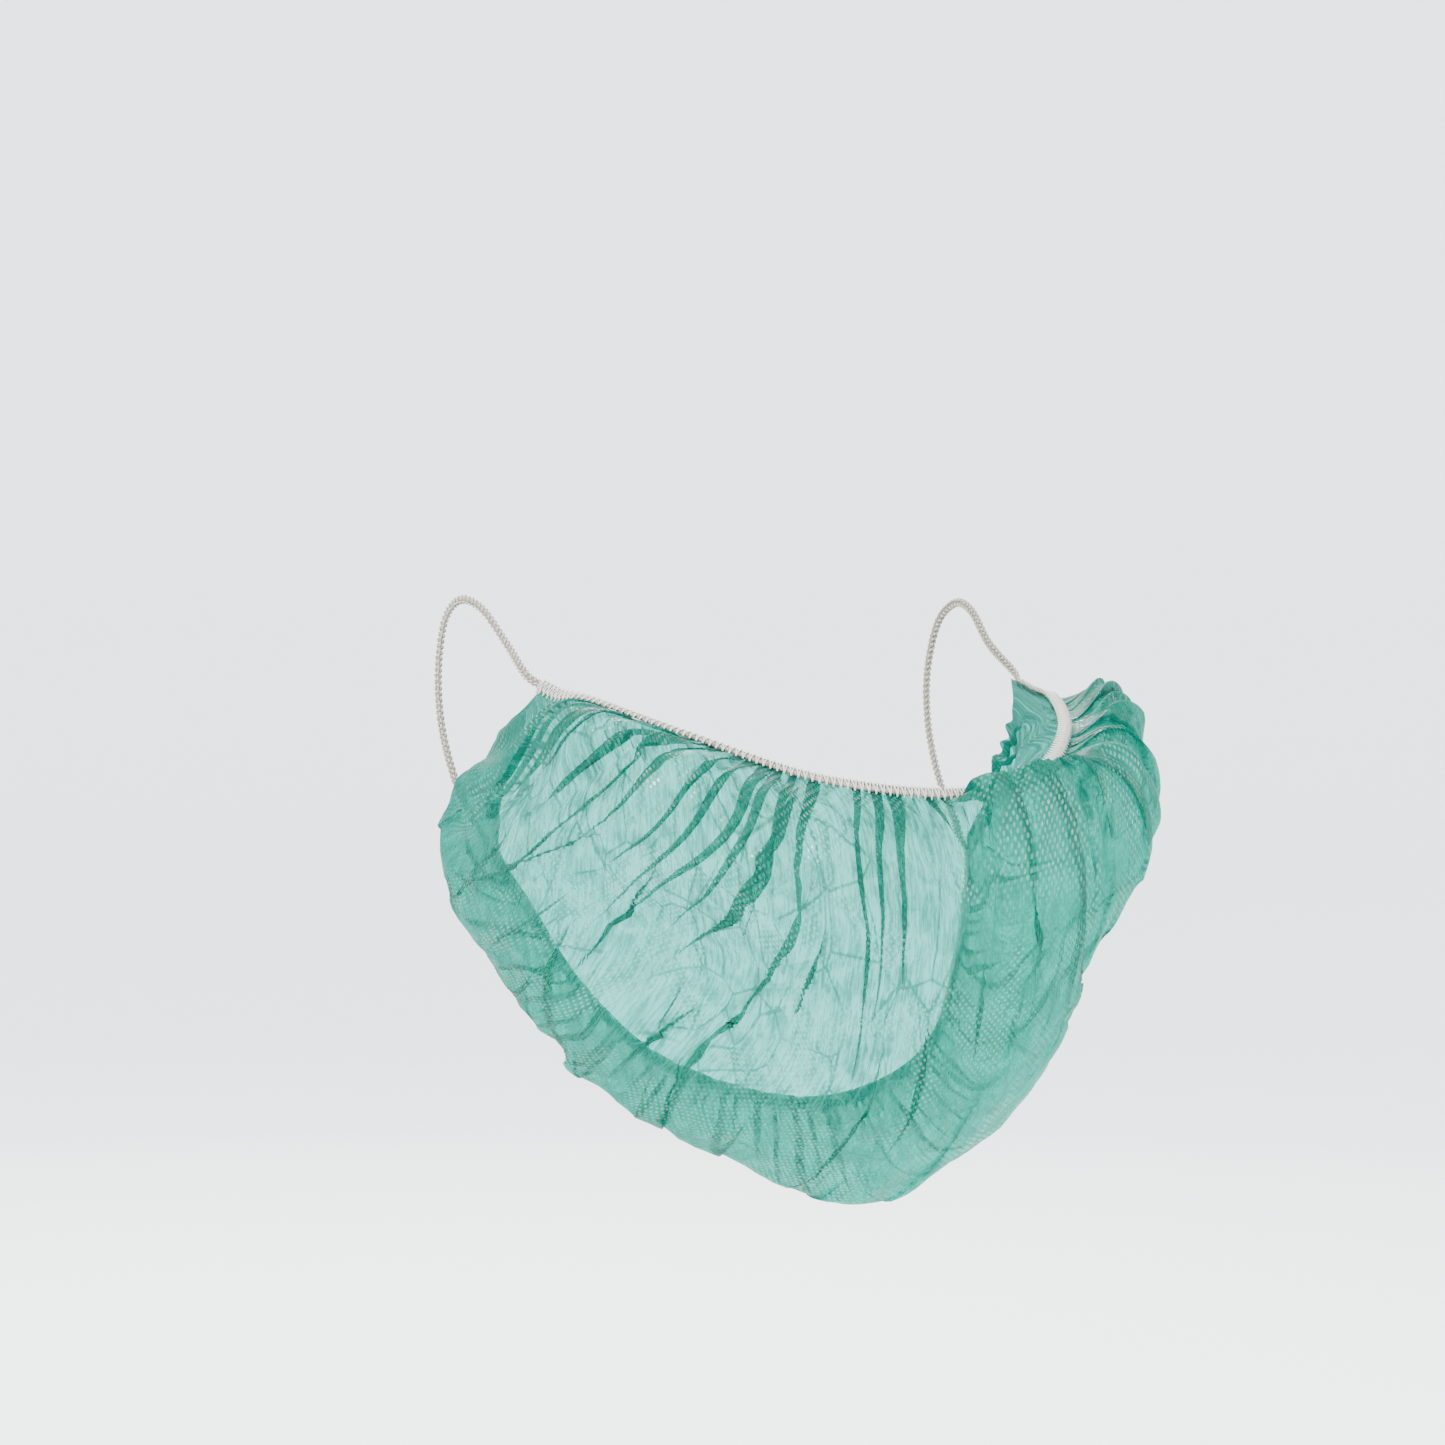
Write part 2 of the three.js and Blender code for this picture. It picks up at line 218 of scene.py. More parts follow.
def smooth_pouch(along, down):
    """The pouch without folds, and the depth of each column. Seven smooth levels run from end to end, and
    across them a smooth profile runs down at each column. Columns are even along the mean of the levels,
    rows along each profile. down holds the rows' shares, one row for all columns or one for each."""
    right = sections * (-1, 1, 1)
    left = sections[-2::-1]
    corners = np.concatenate([right, left]) * pouch_span
    level_count = sections.shape[1]
    fine = np.linspace(0, 1, curve_steps + 1)
    mean_run = run_along(curve_through(corners.mean(axis=1), fine))
    where = np.interp(along, mean_run / mean_run[-1], fine)
    levels = curve_through(corners.transpose(1, 0, 2), np.broadcast_to(where, (level_count, len(where))))
    profiles = levels.transpose(1, 0, 2)
    step = np.linspace(0, 1, profile_steps + 1)
    run = run_along(curve_through(profiles, np.broadcast_to(step, (len(along), len(step)))))
    depth = run[:, -1]
    # Each column's runs are read from one long line, on which the columns lie clear of each other.
    offset = 2.0 * np.arange(len(along))[:, None]
    known = (run / depth[:, None] + offset).ravel()
    down = np.broadcast_to(down, (len(along), down.shape[-1]))
    shares = np.interp((down + offset).ravel(), known, np.tile(step, len(along))).reshape(down.shape)
    return curve_through(profiles, shares), depth


def unit(vectors):
    """Each vector divided by its length."""
    return vectors / np.maximum(np.linalg.norm(vectors, axis=-1, keepdims=True), 1e-12)


def sheet_frame(points):
    """The way along, the way down and the way outwards at each point of a grid of points."""
    along_way = unit(np.gradient(points, axis=0))
    down_way = unit(np.gradient(points, axis=1))
    out_way = unit(np.cross(down_way, along_way))
    return unit(np.cross(out_way, down_way)), down_way, out_way


def ease(x):
    """0 up to 0, 1 from 1 on, and three times the square less twice the cube between them."""
    x = np.clip(x, 0, 1)
    return x * x * (3 - 2 * x)


# Rows lie closer together towards the rim and the hem, where the gathers are finest.
edge_crowding = 0.45
spread = np.linspace(0, 1, cloth_rows)
row_share = spread - edge_crowding * np.sin(2 * np.pi * spread) / (2 * np.pi)
bare, _ = smooth_pouch(np.linspace(0, 1, bare_columns), row_share)
bare_run = run_along(bare.transpose(1, 0, 2))
row_width = bare_run[:, -1]

# Long pleats, placed from the photograph. Each has a path, as pairs of shares along and down the fabric,
# how wide it lies doubled, in millimetres, and whether it starts full at the rim and runs out (dart) or
# swells and closes again (spindle). A minus lays it over the other way.
long_pleats = [
    ([(.326, .0), (.327, .24), (.277, .51)], 3.4, "dart"),
    ([(.337, .0), (.33, .2), (.312, .347), (.272, .55)], 5.2, "spindle"),
    ([(.351, .0), (.346, .167), (.358, .233), (.357, .3), (.329, .56)], 3.6, "dart"),
    ([(.298, .0), (.299, .178), (.263, .321), (.222, .56)], -4.6, "dart"),
    ([(.27, .0), (.249, .225), (.219, .339), (.195, .46)], -4.4, "dart"),
    ([(.393, .0), (.393, .132), (.411, .267), (.423, .477), (.448, .74)], 3.2, "dart"),
    ([(.431, .0), (.431, .139), (.439, .284), (.45, .4)], 5.2, "dart"),
    ([(.462, .0), (.483, .083), (.5, .18)], 3.4, "dart"),
    ([(.48, .0), (.491, .062), (.505, .15)], 2.6, "dart"),
    ([(.245, .0), (.215, .23), (.165, .4)], -4.8, "dart"),
    ([(.22, .0), (.166, .219), (.095, .4)], -5.0, "dart"),
    ([(.18, .0), (.12, .25), (.06, .42)], -4.4, "dart"),
    ([(.14, .0), (.09, .2), (.045, .38)], -3.8, "dart"),
    ([(.371, .1), (.352, .37), (.324, .7)], 2.6, "spindle"),
    ([(.284, .0), (.272, .2), (.24, .36), (.205, .6)], -4.2, "dart"),
    ([(.311, .0), (.31, .18), (.285, .36), (.25, .6)], -3.8, "dart"),
    ([(.412, .0), (.414, .15), (.424, .3), (.43, .55)], 3.4, "dart"),
    ([(.232, .0), (.19, .24), (.14, .42), (.11, .6)], -5.0, "dart"),
    ([(.16, .0), (.11, .22), (.06, .4)], -4.6, "dart"),
    ([(.5, .0), (.512, .1), (.53, .3)], 3.0, "dart"),
    ([(.53, .0), (.545, .14), (.56, .34)], -3.4, "dart"),
    ([(.63, .0), (.634, .14), (.625, .26)], 3.0, "dart"),
    ([(.69, .0), (.71, .2), (.705, .32)], -4.0, "dart"),
    ([(.75, .0), (.79, .2), (.83, .4)], 4.0, "dart"),
    ([(.57, .0), (.583, .094), (.608, .188), (.594, .33), (.594, .54)], -5.0, "dart"),
    ([(.555, .12), (.551, .258), (.551, .45)], 2.6, "spindle"),
    ([(.65, .0), (.655, .2), (.616, .4)], 4.0, "dart"),
    ([(.61, .0), (.66, .06), (.7, .16), (.69, .32)], 3.8, "dart"),
    ([(.72, .0), (.76, .1), (.77, .26)], 4.0, "dart"),
    ([(.78, .0), (.8, .15), (.85, .38)], 4.4, "dart"),
    ([(.83, .0), (.88, .2), (.93, .38)], 4.4, "dart"),
    ([(.88, .0), (.93, .2), (.96, .38)], 3.8, "dart"),
    ([(.35, .45), (.328, .618), (.333, .86)], 2.6, "spindle"),
    ([(.328, .5), (.303, .617), (.275, .78)], 2.2, "spindle"),
    ([(.207, .45), (.21, .613), (.217, .691), (.244, .88)], 3.6, "spindle"),
    ([(.232, .25), (.145, .4), (.1, .56)], -3.4, "spindle"),
    ([(.207, .4), (.18, .5), (.15, .68)], -3.2, "spindle"),
    ([(.6, .4), (.64, .6), (.66, .87)], -3.8, "spindle"),
    ([(.7, .35), (.74, .55), (.75, .82)], 3.8, "spindle"),
    ([(.52, .45), (.53, .65), (.52, .9)], 2.6, "spindle"),
    ([(.82, .4), (.8, .6), (.78, .87)], -3.6, "spindle"),
]
placed = len(long_pleats)

# Between them lie pleats that chance placed: darts that run down from the rim and up from the hem, most of
# them short, and thin folds across the middle. They lean as the photographed ones beside them do: lean_by
# holds how far a pleat leans along the fabric over its whole depth, at the places of lean_at. The lengths
# are shares of the fabric's depth, and the doubled widths are in millimetres.
chance = np.random.default_rng(7)
lean_at, lean_by = np.array([
    (0, 0), (.03, -.05), (.07, -.1), (.14, -.25), (.2, -.3), (.25, -.17), (.3, -.15), (.33, -.08),
    (.36, -.04), (.39, .03), (.43, .05), (.48, .1), (.5, .05), (.55, 0), (.58, .1), (.62, .2),
    (.7, .1), (.78, .2), (.86, .25), (.93, .12), (1, 0),
]).T
rim_pleats = 56
hem_pleats = 56
middle_pleats = 22
shortest_pleat = 0.07
rim_pleat_spread = 0.45
hem_pleat_spread = 0.4
lean_chance = 0.003
hem_lean_chance = 0.004
middle_lean_chance = 0.05
hem_fan = 0.16
# Up to the first of these places the rim's pleats all lie one way, up to the second all the other way, and
# past it chance says.
all_one_way = 0.31
all_other_way = 0.5
for number in range(rim_pleats):
    start = (number + chance.uniform(0.15, 0.85)) / rim_pleats
    length = shortest_pleat + rim_pleat_spread * chance.random() ** 2.5
    lay = -1 if start < all_one_way else 1 if start < all_other_way else chance.choice([-1, 1])
    lean = np.interp(start, lean_at, lean_by) * length + chance.normal(0, lean_chance)
    path = [(start, 0), (start + lean * 0.5, length / 2), (start + lean, length)]
    long_pleats.append((path, lay * chance.uniform(1.0, 3.0), "dart"))
for number in range(hem_pleats):
    start = (number + chance.uniform(0.15, 0.85)) / hem_pleats
    length = shortest_pleat + hem_pleat_spread * chance.random() ** 2.2
    drift = (start - 0.5) * hem_fan * length + chance.normal(0, hem_lean_chance)
    path = [(start, 1), (start + drift * 0.5, 1 - length / 2), (start + drift, 1 - length)]
    long_pleats.append((path, chance.choice([-1, 1]) * chance.uniform(1.0, 2.8), "dart"))
for number in range(middle_pleats):
    start = (number + chance.uniform(0.1, 0.9)) / middle_pleats
    middle, length = chance.uniform(0.25, 0.8), chance.uniform(0.16, 0.5)
    top, foot = max(middle - length / 2, 0.06), min(middle + length / 2, 0.94)
    lean = np.interp(start, lean_at, lean_by) * 0.5 + chance.normal(0, middle_lean_chance)
    path = [(start, top), (start + lean * (foot - top), foot)]
    long_pleats.append((path, chance.choice([-1, 1]) * chance.uniform(1.2, 3.6), "spindle"))


def rows_evened(values, reach):
    """Each value replaced by the mean of those up to reach rows away."""
    window = 2 * reach + 1
    return np.convolve(np.pad(values, reach, mode="edge"), np.ones(window) / window, mode="valid")


# The place of each pleat in each row, and the width of fabric that it takes up there: twice its doubled
# width, and falling to nothing where it runs out. Both waver a little on the way down.
waver_points = 9
place_waver = 0.0005
width_waver = 0.08
place_evening = 4
millimetre = 0.001
pleat_place = np.zeros((len(long_pleats), cloth_rows))
pleat_takes = np.zeros((len(long_pleats), cloth_rows))
for pleat, (path, doubled, form) in enumerate(long_pleats):
    places, levels = np.array(path).T
    share = (row_share - levels[0]) / (levels[-1] - levels[0])
    order = np.argsort(levels)
    place = rows_evened(np.interp(row_share, levels[order], places[order]), place_evening)
    waver = np.interp(share, np.linspace(0, 1, waver_points), chance.normal(0, 1, waver_points))
    inside = np.clip(share, 0, 1)
    strength = (1 - inside ** 1.3) if form == "dart" else np.sin(np.pi * inside) ** 1.2
    strength = np.where((share >= 0) & (share < 1), strength, 0.0)
    pleat_place[pleat] = place + place_waver * waver * ease(share * 3)
    pleat_takes[pleat] = 2 * abs(doubled) * millimetre * strength * (1 + width_waver * waver)

# The pleats of chance grow or shrink together in each row, so that the sheet keeps its own width.
growth_least = 0.2
growth_most = 1.9
growth_evening = 3
spare = flat_width - row_width - pleat_takes[:placed].sum(axis=0)
growth = spare / np.maximum(pleat_takes[placed:].sum(axis=0), 1e-4)
pleat_takes[placed:] *= rows_evened(np.clip(growth, growth_least, growth_most), growth_evening)
sheet_width = row_width + pleat_takes.sum(axis=0)

# Where each pleat lies on the flat sheet: its place in the row, and the fabric that the pleats before it
# take up. Two pleats that come close to each other count in part.
close_run = 0.004
ahead = ease((pleat_place[:, None] - pleat_place[None, :]) * row_width / close_run + 0.5)
ahead[np.arange(len(long_pleats)), np.arange(len(long_pleats))] = 0.5
pleat_at = pleat_place * row_width + (ahead * pleat_takes[None, :]).sum(axis=1)

# In each row the sheet is a curve that can't stretch. Where it crosses a pleat it turns back over itself,
# and its slope there is what the pleat takes up in a run of about two thirds of that width. The slope falls
# off with the fourth power of the distance from the pleat's middle.
run_share = 0.64
slope_peak = 1.25
least_run = 0.0022
least_chance_run = 0.0011
steepest_back = -0.97
column_share = np.linspace(0, 1, cloth_columns)
on_sheet = column_share[:, None] * sheet_width
turned = np.zeros(on_sheet.shape)
leaning = np.zeros(on_sheet.shape)
for pleat, (_, doubled, _) in enumerate(long_pleats):
    takes = pleat_takes[pleat]
    least = least_chance_run if pleat >= placed else least_run
    run = np.sqrt((run_share * takes) ** 2 + least ** 2)
    x = 2 * (on_sheet - pleat_at[pleat]) / run
    turn = slope_peak * np.clip(1 - x ** 4, 0, 1) * takes / run
    turned += turn
    leaning += np.sign(doubled) * turn
forward = np.clip(1 - turned, steepest_back, 1)
leaning /= np.maximum(turned, 1e-6)
step = sheet_width / (cloth_columns - 1)
along_row = np.cumsum(forward, axis=0) * step
along_row -= along_row[:1]
along_row *= row_width / along_row[-1:]
rise = np.cumsum(leaning * np.sqrt(1 - forward ** 2), axis=0) * step


def evened(values, reach):
    """The values smoothed from column to column, under a bell curve whose spread is that many columns."""
    half = int(3 * reach)
    bell = np.exp(-0.5 * (np.arange(-half, half + 1) / reach) ** 2)
    bell /= bell.sum()
    padded = np.pad(values, ((half, half), (0, 0)), mode="reflect")
    size = len(padded) + len(bell) - 1
    mixed = np.fft.irfft(np.fft.rfft(padded, size, axis=0) * np.fft.rfft(bell, size)[:, None], size, axis=0)
    return mixed[2 * half:2 * half + len(values)]


# The long pleats are pinned to their paths: in each row the sheet slides along by as much as they are off,
# up to a limit, and the slide is smoothed along the row.
slide_most = 0.006
slide_evening = 9
slide = np.zeros(on_sheet.shape)
for row in range(cloth_rows):
    order = np.argsort(pleat_at[:placed, row])
    pins = np.concatenate([[0], pleat_at[:placed, row][order], [sheet_width[row]]])
    there = np.interp(pins[1:-1], on_sheet[:, row], along_row[:, row])
    off = (pleat_place[:placed, row] * row_width[row])[order] - there
    off = np.concatenate([[0], np.clip(off, -slide_most, slide_most), [0]])
    slide[:, row] = np.interp(on_sheet[:, row], pins, off)
along_row = np.clip(along_row + evened(slide, slide_evening), 0, row_width)

# The rise is taken off its own mean over the columns beside it, so that the sheet stays near the pouch.
edge_evening = 13
open_evening = 26
near_edge = ease(1.6 - np.minimum(row_share, 1 - row_share) / 0.1)
rise -= near_edge * evened(rise, edge_evening) + (1 - near_edge) * evened(rise, open_evening)

# The sheet's points: along the bare pouch as far as the pleats let it reach, and off it by its rise. The
# runs of all rows are read from one long line, on which the rows lie clear of each other.
row_gap = 10.0
offset = np.arange(cloth_rows)[None, :] * row_gap
known = (bare_run + offset.T).ravel()
asked = (along_row + offset).ravel()


def read_at(where, known, field):
    """A field of vectors, known at rising distances, read at others in straight lines between them."""
    return np.stack([np.interp(where, known, field[:, axis]) for axis in range(3)], axis=-1)


def laid_out(field):
    """A field of the bare pouch, read at each point of the pleated sheet."""
    flat = field.transpose(1, 0, 2).reshape(-1, 3)
    return read_at(asked, known, flat).reshape(cloth_columns, cloth_rows, 3)


_, _, bare_out = sheet_frame(bare)
seat = laid_out(bare)
out_way = unit(laid_out(bare_out))
_, cloth_depth = smooth_pouch(np.linspace(0, 1, cloth_columns), row_share[:2])
column_at = np.broadcast_to(column_share[:, None], on_sheet.shape)
row_at = np.broadcast_to(row_share[None, :], on_sheet.shape)
from_rim = row_at * cloth_depth[:, None]
from_hem = (1 - row_at) * cloth_depth[:, None]
to_edge = np.minimum(from_rim, from_hem)
to_end = np.minimum(column_at, 1 - column_at) * flat_width
pressed_rise = 0.18
open_rise = 0.3
below_middle = ease((row_at - 0.4) / 0.2)
outward = rise * (pressed_rise + open_rise * ease((to_edge - 0.003) / 0.007) * (1 - 0.5 * below_middle))

# The fabric hangs from the rim in soft flutes that lean as the pleats do, deepest towards its ends, and
# stands off the hem in shallow ones. Each row of flutes is a sine whose phase wavers.
rim_flutes = 34
hem_flutes = 29
flute_depth = 0.0007
hem_flute_depth = 0.0008
right_flute_gain = 0.0012
left_flute_gain = 0.0017
fluted = column_at - np.interp(column_at, lean_at, lean_by) * row_at * 0.8
flute_phase = fluted * rim_flutes + 0.8 * np.sin(fluted * 21) + 0.4 * np.sin(fluted * 57 + 1)
flutes = np.sin(2 * np.pi * flute_phase)
flute_gain = np.where(column_at < 0.5, right_flute_gain, left_flute_gain)
flute_gain = flute_gain * ease((np.abs(column_at - 0.5) - 0.16) / 0.18)
fluted_stretch = ease((from_rim - 0.004) / 0.014) * ease((0.052 - from_rim) / 0.04)
outward += (flute_depth + flute_gain) * flutes * fluted_stretch
flutes = np.sin(2 * np.pi * (column_at * hem_flutes + 0.8 * np.sin(column_at * 17)))
fluted_stretch = ease((from_hem - 0.003) / 0.006) * ease((0.026 - from_hem) / 0.016)
outward += hem_flute_depth * flutes * fluted_stretch


def facets(cells_along, cells_down, seed, stretch):
    """Crumpled facets: the squared distance to the nearest of many scattered points, measured in cells.
    It is a shallow bowl inside each cell and a sharp ridge where two cells meet."""
    scatter = np.random.default_rng(seed)
    across_cells = np.arange(-1, cells_along + 1)
    down_cells = np.arange(-1, cells_down + 1)
    centre_x = across_cells[:, None] + scatter.random((len(across_cells), len(down_cells)))
    centre_y = down_cells[None, :] + scatter.random((len(across_cells), len(down_cells)))
    x = column_at * cells_along + stretch * np.sin(row_at * 5 + column_at * 9)
    y = row_at * cells_down
    home_x = np.clip(np.floor(x).astype(int), 0, cells_along - 1)
    home_y = np.clip(np.floor(y).astype(int), 0, cells_down - 1)
    nearest = np.full(x.shape, np.inf)
    for step_x in (-1, 0, 1):
        for step_y in (-1, 0, 1):
            dx = x - centre_x[home_x + step_x + 1, home_y + step_y + 1]
            dy = y - centre_y[home_x + step_x + 1, home_y + step_y + 1]
            nearest = np.minimum(nearest, dx * dx + dy * dy)
    return nearest


# Each row of the table is one size of facet: cells along the fabric and down it, seed, and height.
facet_sway = 0.3
open_cloth = ease((to_edge - 0.004) / 0.02)
for cells_along, cells_down, seed, height in (
    (12, 4, 11, 0.0042),
    (24, 7, 12, 0.0020),
    (52, 13, 13, 0.0007),
):
    crumple = facets(cells_along, cells_down, seed, facet_sway)
    outward += height * open_cloth * (crumple - crumple.mean())

# The ends of the fabric lie flat at the very edge and are ruffled just inside it.
ruffle_height = 0.0011
ruffle_width = 0.007
outward *= ease(to_end / 0.004)
end_ruffle = np.sin(2 * np.pi * (row_at * 5 + 0.5 * np.sin(row_at * 9 + column_at * 3)))
outward += ruffle_height * end_ruffle * np.exp(-to_end / ruffle_width) * ease((to_edge - 0.006) / 0.006)
cloth = seat + out_way * outward[..., None]

# Past the middle of its front the fabric puffs up over the rim and hides the elastic from the front. Near
# the net's left end it stands up as a small ruffle.
puff_height = 0.0125
puff_fall = 0.0085
puff_ruffle = 0.002
puff_along = ease((column_at - 0.515) / 0.055) * ease((0.97 - column_at) / 0.05)
puff_down = ease((from_rim - 0.0034) / 0.0085) * ease((0.042 - from_rim) / 0.026)
ruffle = 0.5 + 0.5 * np.sin(2 * np.pi * (column_at * 23 + 0.7 * np.sin(column_at * 40)))
puff = puff_height - puff_fall * ease((column_at - 0.62) / 0.16)
puff = puff + puff_ruffle * ruffle * ease((column_at - 0.8) / 0.08)
cloth[..., 2] += puff * puff_along * puff_down

# Where the fabric is bunched, as a share: in stripes under both elastics and, deeper, towards its ends.
stripe_pitch = 0.0051
stripe_waver = 0.031
rim_bunch = 0.011
hem_bunch = 0.011
end_bunch = 0.012
end_gather_width = 0.075
end_gather_depth = 0.03
stripes = np.sin(on_sheet * 2 * np.pi / stripe_pitch + 2.2 * np.sin(on_sheet * 2 * np.pi / stripe_waver))
stripes = 0.55 + 0.45 * stripes
gathered_ends = np.exp(-(to_end / end_gather_width) ** 2) * np.exp(-from_rim / end_gather_depth)
bunched = np.exp(-from_rim / rim_bunch) * (0.35 + 0.65 * stripes)
bunched = bunched + 0.9 * np.exp(-from_hem / hem_bunch) * (0.4 + 0.6 * stripes)
bunched = bunched + 0.5 * np.exp(-to_end / end_bunch) + 0.85 * gathered_ends * (0.4 + 0.6 * stripes)
bunched = np.clip(bunched, 0, 1)

# Each point's place on the bare pouch, in metres, for the web of fibres.
cloth_uv = np.stack([along_row - row_width / 2 + flat_width / 2, from_rim], axis=-1)
faces = grid_faces(cloth_columns, cloth_rows)
pouch = mesh_piece("net_cloth", cloth.reshape(-1, 3), faces, cloth_uv.reshape(-1, 2)[faces.ravel()])
bunched_layer = pouch.data.attributes.new("bunched", "FLOAT", "POINT")
bunched_layer.data.foreach_set("value", bunched.ravel().astype(np.float32))


def new_group(name, inputs, outputs):
    """A shader node group with the named number inputs and their defaults, and the named number outputs."""
    group = bpy.data.node_groups.new(name, "ShaderNodeTree")
    for label, default in inputs:
        socket = group.interface.new_socket(label, in_out="INPUT", socket_type="NodeSocketFloat")
        socket.default_value = default
    for label in outputs:
        group.interface.new_socket(label, in_out="OUTPUT", socket_type="NodeSocketFloat")
    return group


def add(tree, kind, **settings):
    """A node of that kind in the tree, with those settings."""
    node = tree.nodes.new(kind)
    for key, value in settings.items():
        setattr(node, key, value)
    return node


def math(tree, operation, a, b=None, clamp=False):
    """One arithmetic step on one or two values, each of them a number or another node's output."""
    node = add(tree, "ShaderNodeMath", operation=operation, use_clamp=clamp)
    for socket, value in zip(node.inputs, (a, b)):
        if value is None:
            continue
        if isinstance(value, bpy.types.NodeSocket):
            tree.links.new(value, socket)
        else:
            socket.default_value = value
    return node.outputs[0]


def ranged(tree, value, low, high, to_low=0.0, to_high=1.0, curve="SMOOTHSTEP"):
    """The value carried over from the range low to high to the range to_low to to_high, and held in it."""
    node = add(tree, "ShaderNodeMapRange", interpolation_type=curve)
    for label, bound in zip(("From Min", "From Max", "To Min", "To Max"), (low, high, to_low, to_high)):
        node.inputs[label].default_value = bound
    tree.links.new(value, node.inputs["Value"])
    return node.outputs[0]


# The nonwoven web: fine fibres lying mostly one way, thick and thin clouds, sharp creases from the packet,
# and a grid of small bond points pressed smooth and clear by a hot roller.
web = new_group("nonwoven_web", [("Bond pitch", 0.0014)], ["Cover", "Bond", "Height"])
inlet = add(web, "NodeGroupInput")
outlet = add(web, "NodeGroupOutput")
uv = add(web, "ShaderNodeUVMap", uv_map="cloth").outputs[0]


def drawn_out(turn, squeeze, shift=0.0):
    """The places on the cloth, turned, moved and squeezed along one way, which draws a pattern out there."""
    mapping = add(web, "ShaderNodeMapping")
    mapping.inputs["Rotation"].default_value = (0, 0, turn)
    mapping.inputs["Location"].default_value = (shift, shift * 0.37, 0)
    mapping.inputs["Scale"].default_value = (1.0, squeeze, 1.0)
    web.links.new(uv, mapping.inputs["Vector"])
    return mapping.outputs[0]


def streaks(turn, squeeze, scale, shift):
    """Noise drawn out along one way, as fibres lie."""
    noise = add(web, "ShaderNodeTexNoise", noise_dimensions="2D")
    noise.inputs["Scale"].default_value = scale
    noise.inputs["Detail"].default_value = 2.0
    noise.inputs["Distortion"].default_value = 0.6
    web.links.new(drawn_out(turn, squeeze, shift), noise.inputs["Vector"])
    return noise.outputs[0]


def crease_lines(turn, squeeze, scale, width):
    """Thin straight lines, as the sheet was creased in its packet: the borders between scattered cells."""
    cells = add(web, "ShaderNodeTexVoronoi", voronoi_dimensions="2D", feature="DISTANCE_TO_EDGE")
    cells.inputs["Scale"].default_value = scale
    web.links.new(drawn_out(turn, squeeze), cells.inputs["Vector"])
    return ranged(web, cells.outputs["Distance"], width * scale, 0.0)


fibres = math(web, "MAXIMUM", streaks(0.35, 0.1, 1500, 3.1), streaks(-0.6, 0.1, 1300, 7.7))
fibres = math(web, "MAXIMUM", fibres, streaks(1.25, 0.12, 1100, 1.9))
clouds = ranged(web, streaks(0.9, 0.7, 170, 5.3), 0.34, 0.66)

# The creases show in some parts of the cloth and not in others.
crease = math(web, "MAXIMUM", crease_lines(0.3, 0.45, 46, 0.0005), crease_lines(-0.9, 0.6, 90, 0.0004))
crease = math(web, "MULTIPLY", crease, ranged(web, streaks(0.2, 0.8, 42, 2.2), 0.38, 0.54))

# The bond points stand in a grid set at 45 degrees, nearly even, and catch the light in patches: the mask is
# patchy, and gives both the bond points' gloss and a painted glint in the fabric's colour.
bond_points = add(web, "ShaderNodeTexVoronoi", voronoi_dimensions="2D", feature="F1")
bond_points.inputs["Randomness"].default_value = 0.12
web.links.new(drawn_out(np.pi / 4, 1.0), bond_points.inputs["Vector"])
web.links.new(math(web, "DIVIDE", 1.0, inlet.outputs["Bond pitch"]), bond_points.inputs["Scale"])
bond = ranged(web, bond_points.outputs["Distance"], 0.34, 0.22)
bond = math(web, "MULTIPLY", bond, ranged(web, streaks(0.5, 0.9, 48, 9.4), 0.42, 0.62, 0.15, 1.0))

# How much the web covers is the sum of fibres, clouds and creases, each with its own weight.
fibre_cover = 0.5
cloud_cover = 0.45
crease_cover = 0.7
cover = math(web, "MULTIPLY", ranged(web, fibres, 0.53, 0.68), fibre_cover)
cover = math(web, "ADD", cover, math(web, "MULTIPLY", clouds, cloud_cover))
cover = math(web, "ADD", cover, math(web, "MULTIPLY", crease, crease_cover))

# Fibres and creases stand up, and bond points are pressed in.
fibre_relief = 0.5
bond_relief = 0.6
crease_relief = 0.8
height = math(web, "MULTIPLY", fibres, fibre_relief)
height = math(web, "SUBTRACT", height, math(web, "MULTIPLY", bond, bond_relief))
height = math(web, "ADD", height, math(web, "MULTIPLY", crease, crease_relief))
web.links.new(cover, outlet.inputs["Cover"])
web.links.new(bond, outlet.inputs["Bond"])
web.links.new(height, outlet.inputs["Height"])

# The fabric: a sheer green that is seen through where fibres are few. The light that comes through from
# behind is a brighter green than the surface, and duller where the fabric is bunched. At the bond points its
# colour is lightened towards a pale mint, a painted glint.
bunched_cover = 0.6
# How far the bond points' colour is lightened towards pale mint, as a painted glint.
bond_painted_glint_share = 0.28
bond_gloss = 0.8
share_lit_through = 0.4
nonwoven = bpy.data.materials.new("sheer_green_nonwoven")
nonwoven.use_nodes = True
tree = nonwoven.node_tree
web_node = add(tree, "ShaderNodeGroup", node_tree=web)
bunched_at = add(tree, "ShaderNodeAttribute", attribute_name="bunched").outputs["Fac"]
covered = math(tree, "ADD", web_node.outputs["Cover"], math(tree, "MULTIPLY", bunched_at, bunched_cover))
alpha = ranged(tree, covered, 0.0, 1.1, 0.38, 0.95, curve="LINEAR")
tint = add(tree, "ShaderNodeValToRGB")
tint.color_ramp.elements[0].color = (0.003, 0.125, 0.092, 1)
tint.color_ramp.elements[1].color = (0.001, 0.07, 0.05, 1)
tree.links.new(alpha, tint.inputs["Fac"])
# Painted glint: pale mint mixed into the colour at the bond points.
bond_painted_glint = add(tree, "ShaderNodeMix", data_type="RGBA")
bond_painted_glint.inputs["B"].default_value = (0.30, 0.60, 0.54, 1)
painted_glint_amount = math(tree, "MULTIPLY", web_node.outputs["Bond"], bond_painted_glint_share)
tree.links.new(painted_glint_amount, bond_painted_glint.inputs["Factor"])
tree.links.new(tint.outputs[0], bond_painted_glint.inputs["A"])
bump = add(tree, "ShaderNodeBump")
bump.inputs["Strength"].default_value = 0.5
bump.inputs["Distance"].default_value = 0.0003
tree.links.new(web_node.outputs["Height"], bump.inputs["Height"])

